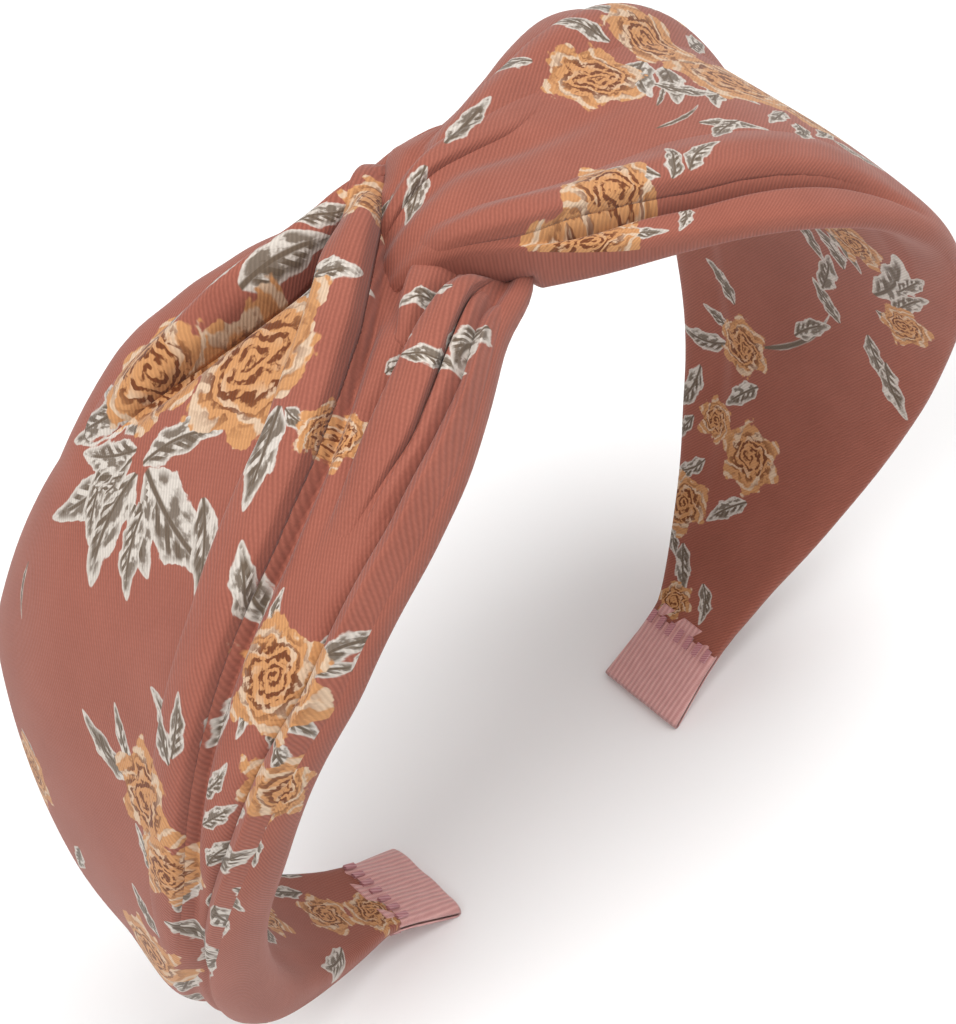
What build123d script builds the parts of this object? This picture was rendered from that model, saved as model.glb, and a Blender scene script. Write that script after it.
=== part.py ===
from build123d import *
import math
import os

# Knotted headband, in millimetres. It stands on its two tips, with +Z up, X from ear to ear and -Y to the
# front. The origin is on the resting plane, midway between the tips.
# The inner face of the plastic core follows a spine in the XZ plane: on each side four tangent arcs and a
# straight tip. A turn is the angle, in degrees, that the spine has turned since the crown, and an offset
# is a distance outwards from the spine. The right arm is built, and the left arm is the right arm turned
# half way round Z, because the twist of the knot has that symmetry.

# Spine: (radius, turn at the end) of the crown, shoulder, side and lower arcs
SPINE_ARCS = [(120.0, 12.0), (54.0, 66.0), (92.0, 98.0), (66.0, 144.0)]
TIP_LENGTH = 20.0

# Layers, from the head outwards
LINING_THICKNESS = 0.8
CORE_THICKNESS = 1.6
FOAM_THICKNESS = 2.4
PANEL_THICKNESS = 5.0
FOAM_OUT = CORE_THICKNESS + FOAM_THICKNESS
PANEL_OUT = FOAM_OUT + PANEL_THICKNESS
FOAM_END_TURN = 120.0

# Widths along Y at five heights: ribbon, start of the fabric, lower bend, side, shoulder
WIDTH_HEIGHTS = [0.0, 11.0, 45.0, 82.0, 112.0]
FABRIC_WIDTHS = [16.0, 20.0, 44.0, 62.0, 70.0]
CORE_WIDTHS = [14.4, 14.4, 24.0, 40.0, 46.0]
CREASE_Y = 2.0
WIDE = 200.0

# The panel's outer face, as (turn, offset); it thins towards the gathered end
PANEL_FACE = [(40.0, PANEL_OUT), (66.0, PANEL_OUT), (98.0, 8.5), (125.0, 6.0), (144.0, 3.6)]
PANEL_END_OFFSET = 3.2

# Crown and knot
FLEX_HALF_SPAN = 20.0
CORE_GAP = 0.3
PANEL_START = 22.5
KNOT_CORE_WIDTH = 26.0
KNOT_FABRIC_WIDTH = 34.0
FLARE_LENGTH = 26.0
FLARE_MIDDLE = 0.40
LOOP_DIAMETER = 6.5
LOOP_OPENING = 7.2
LOOP_TILT = 45.0
LOOP_END = 18.0
LOOP_GAP = 0.2
TACK_DIAMETER = 1.2
TACK_X = 11.0

# Tip ribbons and their stitches
RIBBON_THICKNESS = 0.8
RIBBON_LENGTH = 15.0
RIBBON_WIDTH = 16.0
STITCH_COUNT = 7
STITCH_LENGTH = 2.6
STITCH_WIDTH = 1.0
STITCH_HEIGHT = 0.5
FOOT_CUT = 0.6


def outward(turn):
    """The outward direction of the spine where it has turned by this angle."""
    return Vector(math.sin(math.radians(turn)), 0, math.cos(math.radians(turn)))


def arc_centres():
    """The centres of the spine's arcs, with the crown at the origin."""
    centres = []
    point = Vector(0, 0, 0)
    start = 0.0
    for radius, end in SPINE_ARCS:
        centre = point - outward(start) * radius
        centres.append(centre)
        point = centre + outward(end) * radius
        start = end
    return centres


CENTRES = arc_centres()
TIP_TURN = SPINE_ARCS[-1][1]
TIP_OUTWARD = outward(TIP_TURN)
TIP_ALONG = Vector(TIP_OUTWARD.Z, 0, -TIP_OUTWARD.X)
TIP_START = CENTRES[-1] + TIP_OUTWARD * SPINE_ARCS[-1][0]
FABRIC_END = TIP_LENGTH - RIBBON_LENGTH
RIBBON_CORNER = TIP_START + TIP_ALONG * (TIP_LENGTH + RIBBON_THICKNESS)
RIBBON_CORNER += TIP_OUTWARD * (CORE_THICKNESS + RIBBON_THICKNESS)
CROWN_Z = -RIBBON_CORNER.Z - FOOT_CUT
LIFT = Pos(0, 0, CROWN_Z)


def arc_at(turn):
    """The centre and radius of the arc that holds this turn."""
    for centre, (radius, end) in zip(CENTRES, SPINE_ARCS):
        if turn <= end:
            return centre, radius
    return CENTRES[-1], SPINE_ARCS[-1][0]


def spine_point(turn, offset):
    """The point at this turn, moved outwards by this offset."""
    centre, radius = arc_at(turn)
    return centre + outward(turn) * (radius + offset)


def turn_at_x(x):
    """The turn where the crown or the shoulder is this far from the middle."""
    crown_end = SPINE_ARCS[0][0] * math.sin(math.radians(SPINE_ARCS[0][1]))
    centre, radius = arc_at(0.0) if x <= crown_end else arc_at(SPINE_ARCS[1][1])
    return math.degrees(math.asin((x - centre.X) / radius))


def spine_edges(start, end, offset, tip=0.0):
    """The spine between two turns at one offset, with a straight stretch at the tip."""
    edges = []
    low = 0.0
    for centre, (radius, high) in zip(CENTRES, SPINE_ARCS):
        first, last = max(start, low), min(end, high)
        low = high
        if last - first > 1e-6:
            turns = (first, (first + last) / 2, last)
            edges.append(ThreePointArc(*[centre + outward(t) * (radius + offset) for t in turns]))
    if tip > 0:
        last = edges[-1] @ 1
        edges.append(Line(last, last + TIP_ALONG * tip))
    return edges


def band(inner, outer, width):
    """The solid between an inner and an outer chain of edges, centred on y = 0."""
    closing = [Line(inner[-1] @ 1, outer[-1] @ 1), Line(inner[0] @ 0, outer[0] @ 0)]
    face = Face(Wire(inner + outer + closing))
    return LIFT * extrude(face, width / 2, dir=(0, 1, 0), both=True)


def layer(start_x, end, low, high, tip=0.0):
    """A wide right-hand layer between two offsets, from a distance off the middle to a turn."""
    start = turn_at_x(start_x)
    return band(spine_edges(start, end, low, tip), spine_edges(start, end, high, tip), WIDE)


def height_outline(widths):
    """A prism along X whose width follows the height."""
    right = [(0, width / 2, z) for width, z in zip(widths, WIDTH_HEIGHTS)]
    left = [(0, -y, z) for _, y, z in right]
    low, high = right[0], right[-1]
    base = Polyline(low, (0, low[1], -WIDE), (0, -low[1], -WIDE), left[0])
    roof = Polyline(high, (0, high[1], WIDE), (0, -high[1], WIDE), left[-1])
    face = Face(Wire([Spline(*right), Spline(*left)] + base.edges() + roof.edges()))
    return extrude(face, WIDE, dir=(1, 0, 0))


def flare_outline(narrow, wide):
    """A prism along Z that widens a band from the knot outwards."""
    near = (FLEX_HALF_SPAN, narrow / 2, 0)
    middle = (FLEX_HALF_SPAN + FLARE_LENGTH / 2, wide * FLARE_MIDDLE, 0)
    far = (FLEX_HALF_SPAN + FLARE_LENGTH, wide / 2, 0)
    right = [near, middle, far]
    left = [(x, -y, z) for x, y, z in right]
    start = Polyline(near, (0, near[1], 0), (0, -near[1], 0), left[0])
    end = Polyline(far, (WIDE, far[1], 0), (WIDE, -far[1], 0), left[-1])
    face = Face(Wire([Spline(*right), Spline(*left)] + start.edges() + end.edges()))
    return extrude(face, WIDE, dir=(0, 0, 1))


def core_outline():
    return height_outline(CORE_WIDTHS) & flare_outline(KNOT_CORE_WIDTH, CORE_WIDTHS[-1])


def fabric_outline():
    return height_outline(FABRIC_WIDTHS) & flare_outline(KNOT_FABRIC_WIDTH, FABRIC_WIDTHS[-1])


def arm_layers():
    """The core, foam pad and lining of the right arm."""
    outline = core_outline()
    start = FLEX_HALF_SPAN + CORE_GAP / 2
    core = layer(start, TIP_TURN, 0, CORE_THICKNESS, TIP_LENGTH) & outline
    foam = layer(PANEL_START, FOAM_END_TURN, CORE_THICKNESS, FOAM_OUT) & outline
    lining = layer(start, TIP_TURN, -LINING_THICKNESS, 0, FABRIC_END) & outline
    return core, foam, lining


def arm_panel(core, foam, lining):
    """The outer fabric of the right arm, which wraps the edges of the layers under it."""
    start = turn_at_x(PANEL_START)
    inner = spine_edges(start, TIP_TURN, -LINING_THICKNESS, FABRIC_END)
    points = [spine_point(start, PANEL_OUT)]
    points += [spine_point(turn, offset) for turn, offset in PANEL_FACE]
    points.append(TIP_START + TIP_ALONG * FABRIC_END + TIP_OUTWARD * PANEL_END_OFFSET)
    whole = band(inner, [Spline(*points)], WIDE) & fabric_outline()
    return whole - core - foam - lining


def panel_legs(panel):
    """The panel parted along its long crease into a front and a back leg."""
    front_side = Pos(0, CREASE_Y - WIDE / 2, 0) * Box(2 * WIDE, WIDE, 2 * WIDE)
    return panel & front_side, panel - front_side


def tip_block(start, length, low, high, width):
    """A block along the tip, between two offsets."""
    centre = TIP_START + TIP_ALONG * (start + length / 2) + TIP_OUTWARD * ((low + high) / 2)
    plane = Plane(origin=centre, x_dir=TIP_ALONG, z_dir=TIP_OUTWARD)
    block = plane * Box(length, width, high - low)
    return LIFT * block


def tip_ribbon(core):
    """Ribbon folded over the end of the core, with a small flat foot."""
    length = RIBBON_LENGTH + RIBBON_THICKNESS
    high = CORE_THICKNESS + RIBBON_THICKNESS
    block = tip_block(FABRIC_END, length, -RIBBON_THICKNESS, high, RIBBON_WIDTH)
    below = Pos(0, 0, -WIDE / 2) * Box(2 * WIDE, WIDE, WIDE)
    return block - core - below


def gather_stitches():
    """Overcast stitches across both faces of the ribbon, at the edge of the fabric."""
    pitch = RIBBON_WIDTH / STITCH_COUNT
    top = CORE_THICKNESS + RIBBON_THICKNESS
    levels = [-RIBBON_THICKNESS - STITCH_HEIGHT, top]
    bars = []
    for low in levels:
        bar = tip_block(FABRIC_END, STITCH_LENGTH, low, low + STITCH_HEIGHT, STITCH_WIDTH)
        bars += [Pos(0, (i - (STITCH_COUNT - 1) / 2) * pitch, 0) * bar for i in range(STITCH_COUNT)]
    return Part() + bars


def crown_layer(low, high):
    """A layer across the crown, as wide as the core is at the knot."""
    end = turn_at_x(FLEX_HALF_SPAN - CORE_GAP / 2)
    half = band(spine_edges(0, end, low), spine_edges(0, end, high), KNOT_CORE_WIDTH)
    return half + mirror(half, about=Plane.YZ)


LOOP_RADIUS = (LOOP_OPENING + LOOP_DIAMETER) / 2
LOOP_HALF_HEIGHT = LOOP_RADIUS * math.sin(math.radians(LOOP_TILT)) + LOOP_DIAMETER / 2
KNOT_Z = CROWN_Z + CORE_THICKNESS + LOOP_HALF_HEIGHT + CORE_GAP


def knot_loop():
    """The right-hand strip of the knot: a U whose bight hooks round the other strip."""
    bight_x = LOOP_RADIUS - (LOOP_DIAMETER + LOOP_GAP) / 2
    tube = Circle(LOOP_DIAMETER / 2)
    bight = revolve(Plane.XZ * Pos(LOOP_RADIUS, 0) * tube, Axis.Z, 180)
    legs = []
    for side in (-1, 1):
        leg = extrude(Plane.YZ * Pos(side * LOOP_RADIUS, 0) * tube, LOOP_END - bight_x)
        legs.append(leg)
    loop = Rot(0, 0, 90) * bight + legs
    return Pos(bight_x, 0, KNOT_Z) * Rot(LOOP_TILT, 0, 0) * loop


def knot_tacks(loops):
    """Short thread posts that hold the underside of each strip to the core."""
    posts = []
    drop = LOOP_RADIUS * math.cos(math.radians(LOOP_TILT))
    base = CROWN_Z + CORE_THICKNESS
    for side in (-1, 1):
        post = Cylinder(TACK_DIAMETER / 2, LOOP_DIAMETER / 2, align=(Align.CENTER, Align.CENTER, Align.MIN))
        posts.append(Pos(side * TACK_X, -side * drop, base) * post)
    crown = crown_layer(0, CORE_THICKNESS)
    trimmed = [(post - crown - loops[0] - loops[1]).solids() for post in posts]
    return Part() + [min(solids, key=lambda s: s.center().Z) for solids in trimmed]


def make_parts():
    """Every node, by name."""
    core, foam, lining = arm_layers()
    front, back = panel_legs(arm_panel(core, foam, lining))
    half_turn = Rot(0, 0, 180)
    right_loop = knot_loop()
    left_loop = half_turn * right_loop
    right = {
        "core_arm": core,
        "foam_pad": foam,
        "inner_lining": lining,
        "panel_front_leg": front,
        "panel_back_leg": back,
        "tip_ribbon": tip_ribbon(core),
        "gather_stitches": gather_stitches(),
    }
    left = {name: half_turn * shape for name, shape in right.items()}
    left["panel_front_leg"] = half_turn * back
    left["panel_back_leg"] = half_turn * front
    parts = {
        "crown_core": crown_layer(0, CORE_THICKNESS),
        "crown_lining": crown_layer(-LINING_THICKNESS, 0),
        "left_knot_loop": left_loop,
        "right_knot_loop": right_loop,
        "knot_tacks": knot_tacks([left_loop, right_loop]),
    }
    parts.update({f"right_{name}": shape for name, shape in right.items()})
    parts.update({f"left_{name}": shape for name, shape in left.items()})
    return parts


os.makedirs("parts", exist_ok=True)
for name, shape in make_parts().items():
    export_step(shape, f"parts/{name}.step")
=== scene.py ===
"""A knotted hard headband covered in printed twill, standing on its two ribbon tips.

Each half of the band is one wrap of cloth round the core, drawn as a closed
ring of cloth carried along the band's curve, from the knot to its tip.
Lengths in the tables below are in millimetres: d is the distance from the
middle of the crown along the core, t runs across the band, and heights are
measured outwards from the core's inner face. The right side's coordinates are
the left side's turned half a turn about Z, so t is +Y on the left and -Y on the
right. Each side has its own edges, creases and folds.
"""

import math
from collections import namedtuple

import bpy
import numpy as np
from mathutils import Matrix, Vector


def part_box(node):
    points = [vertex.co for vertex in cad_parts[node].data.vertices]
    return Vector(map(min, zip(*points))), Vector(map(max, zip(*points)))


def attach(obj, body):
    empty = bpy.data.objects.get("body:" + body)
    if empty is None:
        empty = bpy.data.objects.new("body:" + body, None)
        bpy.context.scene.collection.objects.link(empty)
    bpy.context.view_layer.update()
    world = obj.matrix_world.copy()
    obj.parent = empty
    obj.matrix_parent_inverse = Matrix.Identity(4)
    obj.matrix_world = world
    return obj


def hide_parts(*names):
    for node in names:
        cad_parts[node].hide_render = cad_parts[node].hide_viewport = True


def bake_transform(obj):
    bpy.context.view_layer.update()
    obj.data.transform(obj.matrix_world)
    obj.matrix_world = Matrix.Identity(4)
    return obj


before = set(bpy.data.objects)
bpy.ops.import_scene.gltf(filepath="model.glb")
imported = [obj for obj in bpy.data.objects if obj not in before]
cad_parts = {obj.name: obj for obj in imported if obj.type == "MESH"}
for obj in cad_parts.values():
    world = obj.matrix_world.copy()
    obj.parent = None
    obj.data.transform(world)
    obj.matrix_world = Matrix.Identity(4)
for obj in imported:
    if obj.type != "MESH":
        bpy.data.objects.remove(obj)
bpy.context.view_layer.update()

MM = 0.001

# ---------------------------------------------------------------- the core's curve
SPINE_ARCS = [(120, 12), (54, 66), (92, 98), (66, 144)]  # radius, turn in degrees at its end
CORE_THICKNESS = 1.6
CROWN_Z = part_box("crown_core")[1][2] / MM - CORE_THICKNESS
LINING = 0.8  # the lining lies on the core's inner face
HEM = 0.9  # least cloth past each edge of the core
CLEAR = 0.35  # least gap between the cloth and the core's faces
CROSSING = (-2.4, -1.2)  # past the middle of the crown, where a wrap leaves the core's inner face
OVER_KNOT = 2.2  # height of a wrap's inner face beyond that, as it passes over the other wrap
CLOTH_END = 186.0  # the cloth ends inside the ribbon sleeve
JUNCTION = 184.0  # where the sleeve starts


def spine(d):
    """X, Z and outward turn of the core's inner face at each distance d from the crown."""
    reach, turn = np.abs(d), np.zeros_like(d)
    x, z = np.zeros_like(d), np.full_like(d, CROWN_Z)
    for radius, end_turn in SPINE_ARCS + [(None, None)]:
        if radius is None:
            step = reach
            x = x + step * np.cos(turn)
            z = z - step * np.sin(turn)
            break
        step = np.minimum(reach, radius * np.maximum(np.radians(end_turn) - turn, 0))
        new = turn + step / radius
        x = x + radius * (np.sin(new) - np.sin(turn))
        z = z + radius * (np.cos(new) - np.cos(turn))
        turn, reach = new, reach - step
    return x * np.sign(d), z, turn * np.sign(d)


def core_half_widths():
    """Half the core's width along the band, read from the CAD core itself."""
    stations = np.arange(0.0, 201.0, 4.0)
    x, z, _ = spine(stations)
    points = np.concatenate([[v.co[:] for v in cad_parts[node].data.vertices]
                             for node in ("crown_core", "right_core_arm")]) / MM
    away = (points[:, :1] - x) ** 2 + (points[:, 2:] - z) ** 2
    nearest = away.argmin(axis=1)
    widths = []
    for n, d in enumerate(stations):
        close = np.abs(nearest - n) <= 1
        if close.any():
            widths.append((d, np.abs(points[close, 1]).max()))
    return widths


CORE_HALF_WIDTHS = core_half_widths()


def place(side, d, t, height):
    """Points in the frame, in millimetres, from band coordinates. side is -1 left, 1 right."""
    x, z, turn = spine(d)
    px = side * (x + height * np.sin(turn))
    return np.stack([px, -side * t + 0 * px, z + height * np.cos(turn)], axis=-1)


def follow(d, pairs, blur=7.0):
    """A smooth line through given (distance, value) pairs."""
    at, value = zip(*pairs)
    shifts = np.linspace(-1, 1, 9)
    weights = np.cos(shifts * math.pi / 2) ** 2 + 1e-3
    total = sum(w * np.interp(d + s * blur, at, value) for s, w in zip(shifts, weights))
    return total / weights.sum()


def ease(x, start, end):
    """0 before start, 1 after end, and smooth between them."""
    k = np.clip((x - start) / (end - start), 0, 1)
    return k * k * (3 - 2 * k)


def bell(x, width):
    return np.exp(-((x / width) ** 2))


# ---------------------------------------------------------------- the two wraps of cloth
# A crease is a valley along line; the cloth above it (larger t) stands step higher
# and its lip leans over the valley.
Crease = namedtuple("Crease", "line depth width step lean")
Wrap = namedtuple("Wrap", "side high_edge low_edge rim_high rim_low puff creases")
# A fold is a raised pleat that lies on a wrap between two lines, from start to end.
# keen is 1 if only its high side is a sharp lip, -1 if only its low side is, 0 for both.
Fold = namedtuple("Fold", "name side low high lift start end keen")

LONG_CREASE = [(0, 14), (7, 9), (13, 2), (19, -3.5), (25, -8.5), (32, -13), (40, -17), (50, -20),
               (70, -22),
               (95, -23), (115, -20), (135, -14), (155, -8), (175, -4)]
FLAP_LINE = [(0, 16), (8, 13), (14, 8.5), (22, 2.5), (28, -2.5), (40, -9.5), (60, -14), (90, -17)]
BACK_ROLL_LINE = [(0, 11), (8, 10), (14, 8), (20, 6), (26, 6.5), (38, 9.5), (55, 15)]
FRONT_ROLL_LINE = [(0, -9), (5, -13), (10, -15), (16, -19.5), (22, -24), (30, -27.5), (40, -30.5),
                   (60, -32.5),
                   (85, -29), (110, -23), (140, -16), (170, -9)]

LEFT = Wrap(
    side=-1,
    high_edge=[(-15, 12), (-10, 16), (0, 15), (20, 14), (40, 18), (60, 24), (90, 30), (120, 21),
               (150, 15), (170, 11), (184, 8), (190, 7.4)],
    low_edge=[(-15, 6), (-6, -2), (0, -13), (5, -17.5), (10, -19), (14, -21.5), (20, -26), (30, -32),
              (40, -35),
              (60, -37), (90, -33), (120, -26), (145, -21), (165, -14), (184, -8), (190, -7.4)],
    rim_high=[(-15, 3), (0, 6), (15, 4), (60, 2.2), (150, 1.6), (184, 0.8)],
    rim_low=[(-15, 3), (0, 2), (12, 3.4), (60, 2.4), (100, 3.4), (140, 4.6), (165, 2.6), (184, 0.8)],
    puff=[(-15, 1.0), (-8, 1.5), (0, 1.5), (6, 2.4), (12, 4.4), (20, 5.6), (60, 7.5), (90, 9.2),
          (125, 9.8), (150, 7.8), (172, 4), (184, 1.9)],
    creases=[
        Crease(LONG_CREASE, [(5, 2.5), (30, 3.2), (60, 3.0), (110, 2.6), (150, 1.6), (175, 0.5)],
               1.6, [(0, 1.0), (25, 1.8), (60, 1.6), (110, 1.0), (150, 0.3)], 1.5),
        Crease(FRONT_ROLL_LINE, [(0, 2), (20, 2.8), (70, 3.0), (120, 2.2), (165, 0.6)], 1.4,
               [(0, 0.6), (60, 1.0), (120, 0.4)], 1.0),
        Crease([(0, -10), (15, -12), (22, -14.5), (30, -18), (40, -22), (55, -26)],
               [(0, 2.0), (30, 1.8), (50, 0)], 1.5, [(0, -1.0), (30, -0.8), (50, 0)], -0.6),
        Crease([(9, 3), (13, -1), (17, -5), (22, -9)], [(8, 0), (12, 3.4), (17, 3.2), (24, 0)], 1.9,
               [(8, 0), (24, 0)], 0),
        Crease(BACK_ROLL_LINE, [(0, 1.0), (18, 4.0), (27, 7.5), (38, 6.0), (56, 0)], 2.6,
               [(0, 0.3), (30, 0.8), (54, 0)], 1.2),
    ],
)

RIGHT = Wrap(
    side=1,
    high_edge=[(-19, 2), (-16, 5.5), (-12, 9.5), (-8, 12.8), (-4, 15.6), (0, 18.0), (4, 20.4),
               (10, 23), (20, 26.5), (30, 30.5), (40, 33.5),
               (60, 36), (90, 33), (120, 25), (150, 15.5), (170, 10), (184, 8), (190, 7.4)],
    low_edge=[(-19, -4), (-13, -7), (-7, -9.5), (0, -12), (10, -15), (20, -20), (40, -30), (60, -38),
              (90, -38), (120, -33), (150, -24), (170, -15), (184, -8), (190, -7.4)],
    rim_high=[(-19, 3), (-15, 8.5), (-11, 10.6), (-5, 9.6), (2, 6.8), (8, 4.8), (20, 2.8), (150, 1.4),
              (184, 0.8)],
    rim_low=[(-15, 4), (-6, 6.5), (6, 4.5), (20, 2.5), (150, 1.4), (184, 0.8)],
    puff=[(-19, -2), (-16, 0.6), (-11, 3.2), (-2, 5.4), (10, 5.4), (30, 5.6), (60, 5.5), (120, 5.2),
          (155, 4), (172, 2.6), (184, 1.9)],
    creases=[
        Crease([(-10, 12), (-4, 15), (2, 16.5), (11, 18), (20, 20.5), (32, 24), (42, 27),
                (50, 30), (58, 34)],
               [(-8, 0.4), (3, 2.8), (40, 2.8), (56, 0.8), (62, 0)], 1.1,
               [(-10, -1.0), (0, -2.2), (20, -1.6), (50, -0.8), (60, 0)], -1.3),
        Crease([(-16, -1), (-8, 0), (0, 0), (14, 1), (34, 0)],
               [(-18, 1.6), (-8, 1.5), (14, 1.0), (34, 0)], 2.2, [(-18, 0), (34, 0)], 0.3),
        Crease([(-8, -4), (0, -7), (10, -12), (25, -17), (40, -21), (60, -25), (90, -25),
                (120, -19), (150, -12)],
               [(0, 1.5), (30, 2.4), (60, 2.2), (110, 1.4), (150, 0.3)], 1.6,
               [(0, 1.0), (40, 1.8), (80, 0.8), (130, 0)], 1.0),
    ],
)

FOLDS = [
    Fold("left_flap", -1, LONG_CREASE, FLAP_LINE,
         [(3, -1), (7, 2.5), (12, 5.0), (20, 4.2), (40, 2.8), (60, 1.8), (100, 0.8),
          (118, -0.3)], 3, 120, 0),
    Fold("left_back_roll", -1, BACK_ROLL_LINE, [(0, 14), (20, 13.6), (40, 17.6), (60, 23.6)],
         [(2, -1), (6, 2.0), (14, 4.0), (30, 4.4), (42, 2.4), (56, -0.3)], 2, 57, -1),
    Fold("left_front_roll", -1, [(0, -12.5), (5, -17), (10, -18.6), (14, -21.1), (20, -25.6),
                                 (30, -31.6), (40, -34.6),
                                 (60, -36.6), (90, -31.6), (120, -23.6)], FRONT_ROLL_LINE,
         [(4, -2), (9, -0.5), (14, 2.4), (22, 3.2), (70, 2.6), (110, 1.2), (120, -0.3)], 5, 120, 1),
    Fold("left_pleat_a", -1, [(0, -9), (6, -12.5), (12, -14.5), (18, -18), (23, -21), (31, -25.5),
                              (46, -28)],
         [(0, -5), (8, -9), (15, -12.5), (22, -15), (30, -18.5), (46, -24)],
         [(2, -2), (7, 0), (11, 2.6), (20, 2.8), (34, 1.6), (46, -0.3)], 3, 47, 0),
    Fold("left_pleat_b", -1, [(0, -11), (5, -14.5), (10, -16), (16, -20.5), (22, -24.5), (30, -28.5),
                              (42, -31)],
         [(0, -8), (6, -12), (12, -15), (18, -18.6), (23, -21.6), (31, -26), (46, -28.6)],
         [(4, -2), (9, -0.5), (13, 1.5), (22, 1.6), (34, 0.9), (46, -0.3)], 5, 44, 1),
    Fold("left_knot_roll", -1, [(8, -13), (16, -15), (23, -17)], [(8, -4), (14, -5), (23, -12)],
         [(8, -1), (11, 2.0), (17, 2.8), (21, 1.4), (23, -0.3)], 8, 23, 1),
    Fold("right_front_lip", 1, [(-16, 0), (-8, 5), (0, 8), (8, 9), (24, 9), (58, 18)],
         [(-16, 4.8), (-12, 8.8), (-8, 12.2), (-4, 14.6), (0, 15.8), (4, 16.6), (11, 18), (20, 20.5),
          (32, 24), (42, 27), (50, 30),
          (58, 34)],
         [(-14, -1), (-10, 1.2), (0, 2.2), (20, 2.2), (45, 1.0), (58, -0.3)], -14, 58, 1),
    Fold("right_knot_pleat", 1, [(-16, -3.5), (-6, -7), (6, -9), (22, -12)],
         [(-16, -1.4), (-8, -1.8), (0, -2), (10, -2.4), (22, -6)],
         [(-16, -1), (-11, 1.0), (-4, 1.4), (10, 0.9), (22, -0.3)], -16, 22, 1),
    Fold("right_back_fold", 1, [(-6, -6), (0, -8.5), (10, -13), (25, -18), (40, -22), (60, -26),
                                (90, -26),
                                (120, -20)],
         [(-6, 0), (10, -4), (25, -8), (60, -12), (120, -10)],
         [(-5, -1), (2, 1.2), (30, 2.4), (60, 2.2), (100, 0.8), (118, -0.3)], -5, 118, -1),
]

KNOT_REACH = {-1: 15.0, 1: 18.0}  # how far each side's wrap passes over the middle of the crown
ACROSS = 131  # points across each face of a wrap
ALONG = 340  # stations along a wrap


def rim_height(wrap, d, q):
    """The height at which a wrap's edges turn under, shared out between them by q."""
    low, high = follow(d, wrap.rim_low, 4), follow(d, wrap.rim_high, 4)
    return low + (high - low) * (q + 1) / 2


def edges(wrap, d):
    """A wrap's two edges, kept past the edges of the core wherever it lies on it."""
    hem = follow(d, CORE_HALF_WIDTHS, 3) + HEM
    high, low = follow(d, wrap.high_edge), follow(d, wrap.low_edge)
    on_core = ease(d, -7.0, -1.2)
    high = np.maximum(high, hem * on_core + high * (1 - on_core))
    low = np.minimum(low, -hem * on_core + low * (1 - on_core))
    return high, low


def over_core(d, t):
    """1 over the core, 0 past its edges."""
    return 1 - ease(np.abs(t) - follow(d, CORE_HALF_WIDTHS, 3), 0.25, HEM)


def cloth_heights(wrap, d, q):
    """t and height of a wrap's outer face. q runs across it from -1 to 1."""
    high, low = edges(wrap, d)
    t = low + (high - low) * (q + 1) / 2
    dome = np.maximum(1 - np.abs(q) ** 3.2, 0) ** 0.42
    flat = 1 - np.abs(q) ** 10
    height = rim_height(wrap, d, q) + follow(d, wrap.puff) * dome
    relief, lean = np.zeros_like(t), np.zeros_like(t)
    for crease in wrap.creases:
        x = t - follow(d, crease.line, 4)
        depth = follow(d, crease.depth)
        w = crease.width
        relief -= depth * bell(x, w)
        relief += follow(d, crease.step) * ease(x, -1.2 * w, 0.6 * w) * bell(np.maximum(x, 0), 9)
        lip = math.copysign(0.9 * w, crease.lean) if crease.lean else 0.0
        lean -= crease.lean * np.clip(depth / 3, 0, 1) * bell(x - lip, 1.1 * w)
    near_knot = np.exp(-np.maximum(d, 0) / 38)
    relief += 0.3 * near_knot * np.sin(9 * q + 0.05 * d + wrap.side) * flat
    ripple = np.sin(0.085 * d + 2.2 * q + 2 * wrap.side) * np.sin(3.1 * q + 0.03 * d)
    relief += 0.35 * ripple * ease(d, 10, 50)
    gather = ease(d, 158, 184)
    relief += 0.35 * gather * np.sin(2.9 * t + wrap.side)
    relief *= 1 - 0.6 * gather
    t, height = t + lean * flat, height + relief * flat
    floor = CORE_THICKNESS + CLEAR
    lifted = over_core(d, t) * np.maximum(floor - height, 0) * ease(d, *CROSSING)
    return t, height + lifted


def wrap_v(wrap, d, t, q):
    """The print's v: t, plus the extra cloth that turns down at a wrap's edges."""
    dome = np.maximum(1 - np.abs(q) ** 3.2, 0) ** 0.42
    return t + 0.8 * np.sign(q) * np.maximum(follow(d, wrap.puff), 0) * (1 - dome)


def lining_heights(wrap, d, q):
    """t and height of a wrap's inner face, flat on the core and soft past its edges."""
    high, low = edges(wrap, d)
    t = low + (high - low) * (q + 1) / 2
    rim = rim_height(wrap, d, q)
    under = OVER_KNOT - (OVER_KNOT + LINING) * ease(d, *CROSSING)
    past_core = ease(np.abs(t) - follow(d, CORE_HALF_WIDTHS), 0.0, 4.0)
    slack = 0.7 * past_core + 0.18 * np.sin(0.16 * d + 3 * q) * past_core
    face = under + slack * ease(d, 2, 25) * (1 - ease(d, 160, 182))
    height = rim + (face - rim) * np.maximum(1 - np.abs(q) ** 12, 0) ** 0.5
    under_core = over_core(d, t) * ease(d, *CROSSING)
    return t, height + under_core * np.minimum(-CLEAR - height, 0)


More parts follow.
